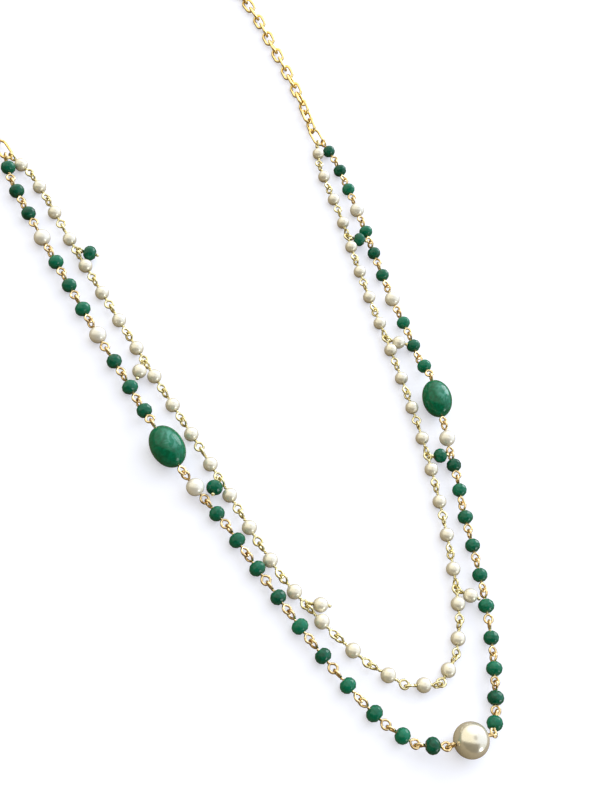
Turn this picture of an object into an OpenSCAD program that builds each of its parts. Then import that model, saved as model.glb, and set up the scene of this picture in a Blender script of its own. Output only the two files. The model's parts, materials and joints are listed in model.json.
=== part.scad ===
// Onyx necklace lying flat: two bead strands between the ends of one chain.
// Millimetres. Z is up from the surface that it lies on, and Y runs from the
// centre pearl to the clasp.

/* [Beads] */
// Small pearl diameter
pearl_d = 3.5; // [3.4:0.1:3.6]
// Accent pearl diameter
accent_d = 4.2; // [4:0.1:4.4]
// Centre pearl diameter
centre_d = 8; // [7.6:0.1:8]
// Onyx bead diameter
onyx_d = 4; // [3.8:0.1:4]
// Onyx bead thickness along its hole
onyx_t = 3.1; // [3:0.1:3.2]
// Oval bead length
oval_l = 10.8; // [10:0.1:10.8]
// Oval bead diameter round its hole
oval_w = 7.8; // [7:0.1:8]
// Radius of the hole through every bead
bore_r = 0.32; // [0.3:0.01:0.36]

/* [Wire] */
// Middle radius of a pin's loop
loop_r = 0.98; // [0.96:0.01:1]
// Radius of the loop wire
wire_r = 0.24; // [0.2:0.01:0.24]
// Radius of the straight pin inside a bead
shaft_r = 0.2; // [0.15:0.01:0.21]
// Radius of the collar beside a bead
collar_r = 0.42; // [0.35:0.01:0.45]
// Middle radius of a charm's loop
charm_loop_r = 0.75; // [0.7:0.01:0.8]
// Radius of the ball that ends a charm's pin
ball_r = 0.35; // [0.3:0.01:0.4]

/* [Chain] */
// Length of a chain link
link_l = 5.66; // [5.6:0.01:5.7]
// Width of a chain link
link_w = 3.5; // [3.4:0.1:3.6]
// Radius of the chain wire
link_r = 0.38; // [0.36:0.01:0.38]
// Height of the chain's middle line
chain_z = 1.6; // [1.55:0.01:1.65]

/* [Hidden] */
SIDES = ["left", "right"];
PAIRED = [
  "oval_bead", "oval_pin", "accent_pins", "onyx_beads", "onyx_pins",
  "pearl_beads", "pearl_pins", "chain", "end_link"
];
NODES = concat(
  ["centre_pearl", "centre_pearl_pin", "clasp_ring", "clasp"],
  [for (name = PAIRED) for (side = SIDES) str(name, "_", side)],
  [for (n = [1:6]) str("accent_pearl_", n)],
  [for (n = [1:8]) str("charm_bead_", n)],
  [for (n = [1:8]) str("charm_pin_", n)]
);
node = "all";

middle = [-12.13, 135.03, -0.015]; // centre of the outline, and its lowest height
pearl_colour = [0.9, 0.87, 0.76];
onyx_colour = [0.03, 0.4, 0.26];
oval_colour = [0.05, 0.33, 0.22];
wire_colour = [0.86, 0.78, 0.5];
chain_colour = [0.9, 0.74, 0.36];
fine = 48;
small = 24;

// Kinds of bead
ONYX = 0;
ACCENT = 1;
OVAL = 2;
CENTRE = 3;
PEARL = 4;

// The onyx strand from its left end to the centre pearl, then the same mirrored
half_strand = concat(
  [ONYX, ONYX, ONYX, ACCENT, ONYX, ONYX, ONYX, ACCENT, ONYX, ONYX, ONYX, OVAL, ACCENT],
  [for (i = [1:10]) ONYX]
);
outer_kinds = concat(half_strand, [CENTRE], [for (i = [len(half_strand) - 1:-1:0]) half_strand[i]]);
inner_kinds = [for (i = [1:39]) PEARL];
centre_at = len(half_strand);
outer_last = len(outer_kinds) - 1;
inner_half = 19;
inner_last = len(inner_kinds) - 1;
accent_at = [for (i = [0:outer_last]) if (outer_kinds[i] == ACCENT) i];

// By kind: half length along the hole, length of the neck beside the bead, and
// the height at which the bead's middle rests
swell = 0.03; // how much the onyx beads differ in size
half_of = [onyx_t / 2, accent_d / 2, oval_l / 2, centre_d / 2, pearl_d / 2];
neck_of = [0.45, 0.45, 0.45, 0.4, 0.82];
rest_of = [onyx_d / 2 * (1 + swell), accent_d / 2, oval_w / 2, centre_d / 2, pearl_d / 2];

// Clearances
gap = 0.1; // between a bead and its collars
play = 0.06; // spare length at each end of a bead
hook_gap = 0.07; // between two hooked loops in line
reach = loop_r - wire_r - hook_gap; // loop centre to a straight joint
bend_tuck = 0.35; // how much closer two loops sit at a square bend
centre_reach = 0.45; // loop centre to a joint beside the centre pearl
centre_span = 2; // joints on each side of the centre pearl that are that close

strand_roll = 20; // largest roll of the loops at a joint

// Routes of the strands as they lie: [joint number, x, y]
outer_route = [
  [0, -60.9, 176.4], [1, -61.3, 167.8], [4, -57.2, 143.9], [8, -51.1, 112.8],
  [10, -47.5, 97.5], [11, -46.8, 90.5], [12, -43.3, 75.8], [13, -39.4, 68.6],
  [15, -34.5, 53.8], [18, -27.1, 30.9], [20, -20.9, 15.6], [21, -17, 8.5],
  [22, -12.2, 3], [23, -5.9, 0.4], [24, 5.8, -0.4], [25, 10.35, 3.95],
  [26, 13, 10], [27, 16.1, 16.4], [29, 21.2, 31.5], [32, 26.4, 54.3],
  [34, 30.2, 68.4], [35, 30.9, 76.5], [36, 33.8, 91.3], [37, 34.2, 98.3],
  [40, 34.9, 122.7], [43, 37, 146.6], [46, 38, 170.4], [47, 36.75, 178.6]
];
inner_route = [
  [0, -59.4, 176.7], [1, -55.4, 169.7], [4, -50.2, 142.9], [8, -42.4, 107.9],
  [12, -34.3, 73.4], [15, -28.2, 47], [17, -20.6, 30.5], [18, -15.4, 22.4],
  [19, -8.6, 15.6], [20, -0.4, 13.6], [21, 6.6, 18.6], [22, 11.4, 25.9],
  [24, 17.2, 42.9], [27, 23.3, 69.7], [30, 26.5, 97.4], [33, 28.2, 124.4],
  [36, 31.2, 151.3], [38, 32, 169.3], [39, 35.05, 178.6]
];
// Heights of the joints near the ovals and the centre pearl: [joint number, z]
outer_heights = [
  [9, 2.37], [10, 1.75], [13, 1.75], [14, 2.37],
  [22, 2.3], [23, 3.8], [24, 4.2], [25, 1.72], [26, 2.42],
  [33, 2.37], [34, 1.75], [37, 1.75], [38, 2.37]
];

// Charms hooked at joints of the pearl strand: [joint, heading, kind, lift]
charms = [
  [4, -31, ONYX, 7], [8, -120, PEARL, 0], [12, -123, ONYX, 9], [16, -20, PEARL, 0],
  [35, -27, ONYX, 9], [31, -31, PEARL, 9], [27, -8, ONYX, 8], [23, -38, PEARL, 6]
];
charm_wire_r = 0.21;
charm_shaft_r = 0.18;
charm_collar_r = 0.34;
charm_neck = charm_loop_r + 0.08; // where the collar starts
charm_drop = charm_loop_r + 0.05; // charm's loop centre from the loop it hooks
charm_side = 0.34; // and its offset to the side of the strand
charm_seat = charm_loop_r + 0.34; // loop centre to the bead

// Chain round the back of the neck, left to right: [x, y]
chain_route = [
  [-61.51, 181.6], [-62.8, 200], [-61.5, 221], [-56, 241], [-45, 257], [-30, 267.5],
  [-13, 271.5], [4, 269.5], [18.5, 262.5], [29.5, 252], [34.3, 240], [35.8, 221],
  [36.6, 200], [35.54, 183.65]
];
links_left = 29;
links_right = 28;
link_a = link_l / 2 - 2 * link_r; // inner half length
slack = 0.08; // play of a link at each end
end_links = 6; // links near the strands that turn towards the end link
link_roll = 45;
link_wobble = 5;

// End links: [x, y of the middle of the far bow, heading towards the strands]
ends = [[-60.4, 177.3, -75.5], [35.9, 179.2, -85.4]];
end_straight = 3.2;
end_bow = 1.6;
end_r = 0.3;
end_z = 1.75;

// Clasp and the ring that it snaps into
ring_mid = 1.5;
ring_wire = 0.35;
clasp_l = 10;
clasp_mid = 1.9;
clasp_wire = 0.5;
clasp_roll = 25;
barrel_r = 0.85;
barrel_l = 5;

function shown(name) = node == "all" || node == name;
function total(v, n, i = 0, s = 0) = i == n ? s : total(v, n, i + 1, s + v[i]);
function times(v) = [for (i = [0:len(v)]) total(v, i)];

// Knots are [t, point], where t is the length of strand up to that joint. The
// curve through them has matched slopes.
function lengths(kinds) = [for (k = kinds) 2 * (half_of[k] + play + neck_of[k] + loop_r + reach)];
function knots(route, t) = [for (r = route) [t[r[0]], [r[1], r[2]]]];
function slope(k, i) =
  let (a = max(i - 1, 0), b = min(i + 1, len(k) - 1)) (k[b][1] - k[a][1]) / (k[b][0] - k[a][0]);
function span(k, t, i = 0) = i >= len(k) - 2 || t <= k[i + 1][0] ? i : span(k, t, i + 1);
function on(k, t) =
  let (i = span(k, t), h = k[i + 1][0] - k[i][0], s = (t - k[i][0]) / h)
  (1 + 2 * s) * pow(1 - s, 2) * k[i][1] + s * pow(1 - s, 2) * h * slope(k, i)
  + s * s * (3 - 2 * s) * k[i + 1][1] + s * s * (s - 1) * h * slope(k, i + 1);

// Every bead rests on the surface, so a joint is as high as the taller bead
// beside it, apart from the joints with a height of their own.
function height(kinds, j, own) =
  let (set = [for (h = own) if (h[0] == j) h[1]])
  len(set) > 0 ? set[0] : max(rest_of[kinds[max(j - 1, 0)]], rest_of[kinds[min(j, len(kinds) - 1)]]);
function joints(kinds, route, own) =
  let (t = times(lengths(kinds)), k = knots(route, t))
  [for (j = [0:len(t) - 1]) let (p = on(k, t[j])) [p[0], p[1], height(kinds, j, own)]];
outer_joints = joints(outer_kinds, outer_route, outer_heights);
inner_joints = joints(inner_kinds, inner_route, []);

// Places a child, drawn along x about its middle, from a to b
module between(a, b) {
  v = b - a;
  translate((a + b) / 2)
    rotate([0, -atan2(v[2], norm([v[0], v[1]])), atan2(v[1], v[0])]) children();
}
module along_x() rotate([0, 90, 0]) children();
module loop(r, w) rotate_extrude($fn = fine) translate([r, 0]) circle(w, $fn = small);

// Beads, each drawn about its middle with its hole along x
module pearl(d) color(pearl_colour) along_x() rotate_extrude($fn = fine) difference() {
  circle(d = d, $fn = fine);
  translate([-d, -d]) square([d + bore_r, 2 * d]);
}

// Half an ellipse turned round the hole
oval_steps = 24;
oval_start = asin(2 * bore_r / oval_w);
module oval_bead() color(oval_colour) along_x() rotate_extrude($fn = fine) polygon([
  for (i = [0:oval_steps]) let (a = oval_start + (180 - 2 * oval_start) * i / oval_steps)
    [oval_w / 2 * sin(a), oval_l / 2 * cos(a)]
]);

// Cut rondelle: a table round each end of the hole, two rows of facets and a girdle
module onyx_bead(size) {
  sides = 12;
  r = onyx_d / 2 * size;
  h = onyx_t / 2;
  table = [1, 0.55]; // share of the half length, share of the radius
  crown = [0.68, 0.86];
  girdle = [0.22, 1];
  half = [[h * table[0], bore_r], [h * table[0], r * table[1]],
    [h * crown[0], r * crown[1]], [h * girdle[0], r * girdle[1]]];
  rows = concat([for (p = half) [-p[0], p[1]]], [for (i = [3:-1:0]) half[i]]);
  n = len(rows);
  color(onyx_colour) polyhedron(
    [for (p = rows) for (j = [0:sides - 1])
      [p[0], p[1] * cos(360 * j / sides), p[1] * sin(360 * j / sides)]],
    [for (i = [0:n - 1]) for (j = [0:sides - 1])
      let (k = (i + 1) % n, m = (j + 1) % sides)
      [i * sides + j, i * sides + m, k * sides + m, k * sides + j]]
  );
}

module bead(kind, i) {
  if (kind == ONYX) onyx_bead(1 + swell * sin(131 * i));
  if (kind == ACCENT) pearl(accent_d);
  if (kind == OVAL) oval_bead();
  if (kind == CENTRE) pearl(centre_d);
  if (kind == PEARL) pearl(pearl_d);
}
module beads(joints, kinds, kind, from, to) {
  for (i = [from:to]) if (kinds[i] == kind) between(joints[i], joints[i + 1]) bead(kind, i);
}

// Straight pin with a collar at each side of the bead and a loop at each end.
// The loops' centres lie a and b inside the pin's two joints.
module eye_pin(length, half, roll_a, roll_b, a, b) color(wire_colour) {
  la = length / 2 - a - loop_r;
  lb = length / 2 - b - loop_r;
  along_x() rotate_extrude($fn = small) polygon([
    [0, -la], [shaft_r, -la], [shaft_r, gap - la], [collar_r, gap - la],
    [collar_r, -half - gap], [shaft_r, -half - gap],
    [shaft_r, half + gap], [collar_r, half + gap],
    [collar_r, lb - gap], [shaft_r, lb - gap], [shaft_r, lb], [0, lb]
  ]);
  translate([-la - loop_r, 0, 0]) rotate([roll_a, 0, 0]) loop(loop_r, wire_r);
  translate([lb + loop_r, 0, 0]) rotate([roll_b, 0, 0]) loop(loop_r, wire_r);
}

// The lower loop of every pin lies flat and the upper one stands. Both loops at
// a joint share a small roll, and a joint that holds a charm has none.
function charmed(i) = len([for (c = charms) if (c[0] == i) i]) > 0;
function roll_end(i, low, hung) =
  hung && charmed(i) ? 0 : (i <= low ? 0 : 90) + strand_roll * sin(137 * i + 40);
function roll_start(i, low, hung) = roll_end(i, low, hung) + 90;
// Two hooked loops sit closer where the strand bends.
function heading(joints, i) = (joints[i + 1] - joints[i]) / norm(joints[i + 1] - joints[i]);
function by_centre(i) = i > centre_at - centre_span && i <= centre_at + 1 + centre_span;
function tuck(joints, i) = i == 0 || i == len(joints) - 1 ? reach
  : len(joints) > outer_last && by_centre(i) ? centre_reach
  : reach - bend_tuck * (1 - heading(joints, i - 1) * heading(joints, i));

module pins(joints, kinds, kind, from, to, low, hung) {
  for (i = [from:to]) if (kinds[i] == kind) {
    a = joints[i];
    b = joints[i + 1];
    first = i == 0 ? 90 : roll_start(i, low, hung);
    last = i == len(kinds) - 1 ? 90 : roll_end(i + 1, low, hung);
    between(a, b)
      eye_pin(norm(b - a), half_of[kind], first, last, tuck(joints, i), tuck(joints, i + 1));
  }
}
module outer_beads(kind, from, to) beads(outer_joints, outer_kinds, kind, from, to);
module outer_pins(kind, from, to) pins(outer_joints, outer_kinds, kind, from, to, centre_at, false);
module pearl_beads(from, to) beads(inner_joints, inner_kinds, PEARL, from, to);
module pearl_pins(from, to) pins(inner_joints, inner_kinds, PEARL, from, to, inner_half, true);

// Charms: a bead on a pin of its own, with a loop at one end and a ball at the other
function charm_dir(c) = [cos(c[1]) * cos(c[3]), sin(c[1]) * cos(c[3]), sin(c[3])];
function side_of(c, u) = let (s = [-sin(c[1]), cos(c[1]), 0]) s * u > 0 ? -s : s;
function hook(c) =
  let (u = heading(inner_joints, c[0] - 1))
  inner_joints[c[0]] - u * tuck(inner_joints, c[0])
  + charm_drop * charm_dir(c) + charm_side * side_of(c, u);
function charm_x(c) = charm_seat + half_of[c[2]];
module charm_place(c) translate(hook(c)) rotate([0, -c[3], c[1]]) children();

module charm_bead(n) charm_place(charms[n])
  translate([charm_x(charms[n]), 0, 0]) bead(charms[n][2], 3 * n);

module charm_pin(n) color(wire_colour) {
  x = charm_x(charms[n]);
  half = half_of[charms[n][2]] + gap;
  charm_place(charms[n]) {
    rotate([90, 0, 0]) loop(charm_loop_r, charm_wire_r);
    along_x() rotate_extrude($fn = small) polygon([
      [0, charm_loop_r], [charm_shaft_r, charm_loop_r], [charm_shaft_r, charm_neck],
      [charm_collar_r, charm_neck], [charm_collar_r, x - half], [charm_shaft_r, x - half],
      [charm_shaft_r, x + half + ball_r], [0, x + half + ball_r]
    ]);
    translate([x + half + ball_r, 0, 0]) sphere(ball_r, $fn = small);
  }
}

// Chain: every link, the clasp ring and the clasp in order, by inner half length
chain_halves = concat(
  [for (i = [1:links_left]) link_a - slack],
  [ring_mid - ring_wire - slack, clasp_l / 2 - 2 * clasp_wire - slack],
  [for (i = [1:links_right]) link_a - slack]
);
chain_count = len(chain_halves);
chain_steps = times([for (h = chain_halves) 2 * h]);
route_last = len(chain_route) - 1;
route_steps = times([for (i = [1:route_last]) norm(chain_route[i] - chain_route[i - 1])]);
chain_knots = [for (i = [0:route_last]) [route_steps[i], chain_route[i]]];
stretch = route_steps[route_last] / chain_steps[chain_count];
// Share of the way from the end link into the chain
function into(i) = min(1, min(i, chain_count - i) / end_links);
chain_joints = [for (i = [0:chain_count]) let (p = on(chain_knots, chain_steps[i] * stretch))
  [p[0], p[1], end_z + (chain_z - end_z) * into(i)]];
function chain_roll(i) =
  (i % 2 == 0 ? 90 : 0) - link_roll * into(i + 0.5) + link_wobble * sin(97 * i);
module on_chain(i, roll) between(chain_joints[i], chain_joints[i + 1]) rotate([roll, 0, 0]) children();

// Link with two straight sides and round ends
module long_link(straight, mid, w) {
  for (turn = [0, 180]) rotate([0, 0, turn]) {
    translate([straight / 2, 0, 0]) rotate([0, 0, -90])
      rotate_extrude(angle = 180, $fn = fine) translate([mid, 0]) circle(w, $fn = small);
    translate([-straight / 2, mid, 0]) along_x() cylinder(r = w, h = straight, $fn = small);
  }
}
module chain_links(from, to) color(chain_colour) {
  for (i = [from:to]) on_chain(i, chain_roll(i)) long_link(link_l - link_w, link_w / 2 - link_r, link_r);
}
module end_link(e) color(chain_colour)
  translate([e[0], e[1], end_z]) rotate([0, 0, e[2]]) translate([-end_straight / 2, 0, 0])
    long_link(end_straight, end_bow, end_r);
module clasp_ring() color(chain_colour)
  on_chain(links_left, chain_roll(links_left)) loop(ring_mid, ring_wire);
module clasp() color(chain_colour) on_chain(links_left + 1, clasp_roll) {
  long_link(clasp_l - 2 * (clasp_mid + clasp_wire), clasp_mid, clasp_wire);
  translate([0, clasp_mid, 0]) along_x() cylinder(r = barrel_r, h = barrel_l, center = true, $fn = fine);
}

// Strands by side: [first and last outer bead, first and last inner bead,
// first and last chain link]
ranges = [
  [0, centre_at - 1, 0, inner_half - 1, 0, links_left - 1],
  [centre_at + 1, outer_last, inner_half, inner_last, links_left + 2, chain_count - 1]
];
translate(-middle) {
  if (shown("centre_pearl")) outer_beads(CENTRE, centre_at, centre_at);
  if (shown("centre_pearl_pin")) outer_pins(CENTRE, centre_at, centre_at);
  for (s = [0, 1]) {
    side = SIDES[s];
    r = ranges[s];
    if (shown(str("oval_bead_", side))) outer_beads(OVAL, r[0], r[1]);
    if (shown(str("oval_pin_", side))) outer_pins(OVAL, r[0], r[1]);
    if (shown(str("accent_pins_", side))) outer_pins(ACCENT, r[0], r[1]);
    if (shown(str("onyx_beads_", side))) outer_beads(ONYX, r[0], r[1]);
    if (shown(str("onyx_pins_", side))) outer_pins(ONYX, r[0], r[1]);
    if (shown(str("pearl_beads_", side))) pearl_beads(r[2], r[3]);
    if (shown(str("pearl_pins_", side))) pearl_pins(r[2], r[3]);
    if (shown(str("chain_", side))) chain_links(r[4], r[5]);
    if (shown(str("end_link_", side))) end_link(ends[s]);
  }
  for (n = [0:5]) if (shown(str("accent_pearl_", n + 1))) outer_beads(ACCENT, accent_at[n], accent_at[n]);
  for (n = [0:7]) if (shown(str("charm_bead_", n + 1))) charm_bead(n);
  for (n = [0:7]) if (shown(str("charm_pin_", n + 1))) charm_pin(n);
  if (shown("clasp_ring")) clasp_ring();
  if (shown("clasp")) clasp();
}
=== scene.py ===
"""Dresses the onyx and pearl necklace: cut stones, nacre, wound wire and chain.

Every bead, pin and link is placed from the solids of the loaded frame. Lengths
are in metres, and sizes that a maker would quote are written as mm * value.
"""

import json
import logging
import math
import random
from dataclasses import dataclass, field
from enum import Enum
from typing import Any, Iterable, Sequence

import bmesh
import bpy
import numpy as np
from bpy.types import Material, Mesh, Node, NodeSocket, NodeTree, Object
from mathutils import Matrix, Quaternion, Vector

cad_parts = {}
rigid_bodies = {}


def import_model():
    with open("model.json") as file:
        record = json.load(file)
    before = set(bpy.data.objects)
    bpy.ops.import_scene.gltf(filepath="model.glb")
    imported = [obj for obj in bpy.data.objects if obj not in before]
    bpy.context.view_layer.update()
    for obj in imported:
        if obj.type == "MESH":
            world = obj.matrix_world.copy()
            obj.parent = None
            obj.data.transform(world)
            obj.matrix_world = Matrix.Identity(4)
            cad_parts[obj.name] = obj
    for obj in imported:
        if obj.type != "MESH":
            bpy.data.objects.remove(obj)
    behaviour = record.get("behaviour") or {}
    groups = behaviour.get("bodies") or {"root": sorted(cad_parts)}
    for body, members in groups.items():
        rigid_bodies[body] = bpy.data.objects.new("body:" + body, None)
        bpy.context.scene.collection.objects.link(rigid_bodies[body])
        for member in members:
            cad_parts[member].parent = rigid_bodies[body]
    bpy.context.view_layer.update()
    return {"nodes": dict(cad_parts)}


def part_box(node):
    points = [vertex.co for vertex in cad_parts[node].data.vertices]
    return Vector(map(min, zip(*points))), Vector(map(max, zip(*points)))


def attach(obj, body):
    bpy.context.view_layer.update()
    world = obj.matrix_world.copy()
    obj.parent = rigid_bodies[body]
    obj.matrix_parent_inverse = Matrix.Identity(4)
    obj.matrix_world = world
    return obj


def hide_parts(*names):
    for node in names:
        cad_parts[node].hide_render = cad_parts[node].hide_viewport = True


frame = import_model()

log = logging.getLogger("necklace")
mm = 0.001
UP = Vector((0.0, 0.0, 1.0))
Colour = tuple[float, float, float]


class Side(Enum):
    """The two halves of the necklace, as it lies with the centre pearl in front."""

    LEFT = "left"
    RIGHT = "right"


# Node trees


class Tree:
    """Adds nodes to one tree and links them."""

    def __init__(self, tree: NodeTree) -> None:
        """Works on this tree."""
        self.tree = tree

    def add(self, kind: str, settings: dict[str, Any] | None = None) -> Node:
        """Adds one node.

        Args:
            kind: The node's type.
            settings: Its own properties.

        Returns:
            The new node.
        """
        node = self.tree.nodes.new(kind)
        for name, value in (settings or {}).items():
            setattr(node, name, value)
        return node

    def feed(self, socket: NodeSocket, value: Any) -> None:
        """Gives an input its value or link.

        Args:
            socket: The input.
            value: A number, colour, Value or output.
        """
        if isinstance(value, Value):
            value = value.socket
        if isinstance(value, NodeSocket):
            self.tree.links.new(value, socket)
        else:
            socket.default_value = (*value, 1.0) if socket.type == "RGBA" else value


class Value:
    """A number that varies over a surface, written with Python's operators."""

    def __init__(self, shader: "Shader", socket: NodeSocket) -> None:
        """Wraps one output of a shader's tree."""
        self.shader = shader
        self.socket = socket

    def _math(self, operation: str, *terms: "Value | float") -> "Value":
        """Adds one Math node on these terms."""
        node = self.shader.node("ShaderNodeMath", {"operation": operation}, *terms)
        return Value(self.shader, node.outputs[0])

    def __add__(self, other: "Value | float") -> "Value":
        """Sum."""
        return self._math("ADD", self, other)

    def __sub__(self, other: "Value | float") -> "Value":
        """Difference."""
        return self._math("SUBTRACT", self, other)

    def __mul__(self, other: "Value | float") -> "Value":
        """Product."""
        return self._math("MULTIPLY", self, other)

    def step(self, low: float, high: float) -> "Value":
        """Steps smoothly, from 0 at the low value to 1 at the high one."""
        node = self.shader.node(
            "ShaderNodeMapRange", {"interpolation_type": "SMOOTHSTEP"}, self, low, high, 0.0, 1.0
        )
        return Value(self.shader, node.outputs[0])


class Shader(Tree):
    """Builds the nodes of a material or of the world."""

    def node(self, kind: str, settings: dict[str, Any] | None = None, *values: Any) -> Node:
        """Adds one node.

        Args:
            kind: The node's type.
            settings: Its own properties, which are set first.
            values: A number, colour, Value or output for each input in order.

        Returns:
            The new node.
        """
        node = self.add(kind, settings)
        inputs = [socket for socket in node.inputs if socket.enabled]
        for socket, value in zip(inputs, values):
            self.feed(socket, value)
        return node

    def attribute(self, name: str) -> Value:
        """A number that the piece's mesh stores under this name."""
        node = self.node("ShaderNodeAttribute", {"attribute_name": name})
        return Value(self, node.outputs["Fac"])

    def place(self) -> NodeSocket:
        """Object coordinates, in metres."""
        return self.node("ShaderNodeTexCoord").outputs["Object"]

    def height(self) -> Value:
        """Height above the surface, in metres."""
        return Value(self, self.node("ShaderNodeSeparateXYZ", None, self.place()).outputs["Z"])

    def noise(self, size: float, detail: float = 2.0, twist: float = 0.0) -> Value:
        """Soft noise.

        Args:
            size: The size of its blotches, in metres.
            detail: How many finer layers it has.
            twist: How far it is distorted.

        Returns:
            The noise, about 0.5 in the middle.
        """
        node = self.node("ShaderNodeTexNoise")
        self.feed(node.inputs["Vector"], self.place())
        node.inputs["Scale"].default_value = 1.0 / size
        node.inputs["Detail"].default_value = detail
        node.inputs["Distortion"].default_value = twist
        return Value(self, node.outputs[0])

    def blend(self, share: Value | float, low: Any, high: Any) -> NodeSocket:
        """Mixes two colours or outputs, from the first at share 0 to the second at 1."""
        node = self.node("ShaderNodeMix", {"data_type": "RGBA"}, share, low, high)
        return next(socket for socket in node.outputs if socket.enabled)

    def facing(self, way: Sequence[float]) -> Value:
        """Measures how far each direction of the room turns from one way.

        Args:
            way: The way, from the middle of the room.

        Returns:
            The cosine of the angle between the two.
        """
        around = self.node("ShaderNodeTexCoord").outputs["Generated"]
        unit = Vector(way).normalized()
        dot = self.node("ShaderNodeVectorMath", {"operation": "DOT_PRODUCT"}, around, unit)
        return Value(self, dot.outputs["Value"])


class MaterialShader(Shader):
    """Builds one material round its Principled shader."""

    def __init__(self, name: str) -> None:
        """Starts a material.

        Args:
            name: The material's name.
        """
        self.material = bpy.data.materials.new(name)
        self.material.use_nodes = True
        super().__init__(self.material.node_tree)
        self.surface = self.tree.nodes["Principled BSDF"]

    def bump(self, height: Value, depth: float) -> None:
        """Bumps the surface.

        Args:
            height: The height, from 0 to 1.
            depth: The height's reach in metres.
        """
        node = self.node("ShaderNodeBump")
        node.inputs["Distance"].default_value = depth
        self.feed(node.inputs["Height"], height)
        self.feed(self.surface.inputs["Normal"], node.outputs[0])

    def set(self, **sockets: Any) -> None:
        """Sets sockets of the Principled shader, named with _ for each space."""
        for name, value in sockets.items():
            self.feed(self.surface.inputs[name.replace("_", " ")], value)


# Finishes


@dataclass(frozen=True)
class Nacre:
    """Lustrous coating of a pearl bead."""

    name: str
    body: Colour = (0.95, 0.91, 0.77)
    warm: Colour = (0.88, 0.82, 0.64)
    roughness: float = 0.28
    metallic: float = 0.38
    grain: float = 0.6 * mm

    def material(self) -> Material:
        """Cream nacre, warmer in patches, with a faint uneven skin.

        Returns:
            The material.
        """
        shader = MaterialShader(self.name)
        clouds = shader.noise(self.grain * 4, 3.0)
        warmth = clouds.step(0.35, 0.75) * 0.5 + shader.attribute("tone") * 0.5
        tint = shader.blend(warmth, self.body, self.warm)
        shader.set(Base_Color=tint, Roughness=self.roughness, Metallic=self.metallic)
        shader.set(Coat_Weight=0.35, Coat_Roughness=0.08, Specular_IOR_Level=0.5)
        shader.bump(shader.noise(self.grain, 2.0), 0.004 * mm)
        return shader.material


@dataclass(frozen=True)
class GreenStone:
    """Dyed green onyx, lighter or darker from stone to stone."""

    name: str
    dark: Colour
    light: Colour
    cloud: Colour
    cloudiness: float
    cloud_size: float = 2.2 * mm
    # The stone turns pale from this base height up to the top height. Set near a bead's top, that pale
    # colour is partly clouds and partly a painted sheen where the light falls.
    cloud_base: float = -1.0 * mm
    cloud_top: float = 0.0
    mottle: float = 0.3
    roughness: float = 0.05

    def material(self) -> Material:
        """Mottled deep green stone, with milk-pale clouds from their base height upwards.
        Where that base lies near a bead's top, as on the ovals, the pale colour there is partly
        clouds and partly a painted sheen where the light falls on the top.

        Returns:
            The material.
        """
        shader = MaterialShader(self.name)
        fine = shader.noise(self.cloud_size * 0.4, 3.0, 0.6)
        broad = shader.noise(self.cloud_size, 4.0, 1.2)
        shade = shader.attribute("tone") * 0.75 + 0.15 + (fine.step(0.3, 0.75) - 0.5) * self.mottle
        body = shader.blend(shade, self.dark, self.light)
        # Height mask for the pale colour. On the ovals it keeps that colour to the top of the bead, as
        # a painted sheen where the light falls, along with the clouds.
        cloud_and_sheen_height_mask = shader.height().step(self.cloud_base, self.cloud_top)
        veins = broad.step(0.44, 0.58) * 0.75 + 0.25
        milky_clouds_and_sheen = shader.blend(veins * cloud_and_sheen_height_mask * self.cloudiness, body, self.cloud)
        shader.set(Base_Color=milky_clouds_and_sheen, Roughness=fine.step(0.3, 0.8) * 0.08 + self.roughness)
        shader.set(IOR=1.58, Specular_IOR_Level=0.25, Subsurface_Weight=0.03, Subsurface_Scale=1.2 * mm)
        shader.surface.inputs["Subsurface Radius"].default_value = (0.2, 1.0, 0.6)
        shader.bump(broad * 0.6 + fine * 0.4, 0.01 * mm)
        return shader.material


@dataclass(frozen=True)
class GoldPlate:
    """Polished gold plate on brass wire."""

    name: str
    bright: Colour
    worn: Colour
    roughness: float = 0.2

    def material(self) -> Material:
        """Bright plate with drawn-wire unevenness and duller, browner patches.

        Returns:
            The material.
        """
        shader = MaterialShader(self.name)
        patches = shader.noise(1.1 * mm, 3.0)
        draw = shader.noise(0.18 * mm, 2.0)
        tint = shader.blend(patches.step(0.45, 0.75), self.bright, self.worn)
        shader.set(Base_Color=tint, Metallic=1.0, Roughness=draw * 0.14 + self.roughness - 0.05)
        shader.bump(draw, 0.006 * mm)
        return shader.material


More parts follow.
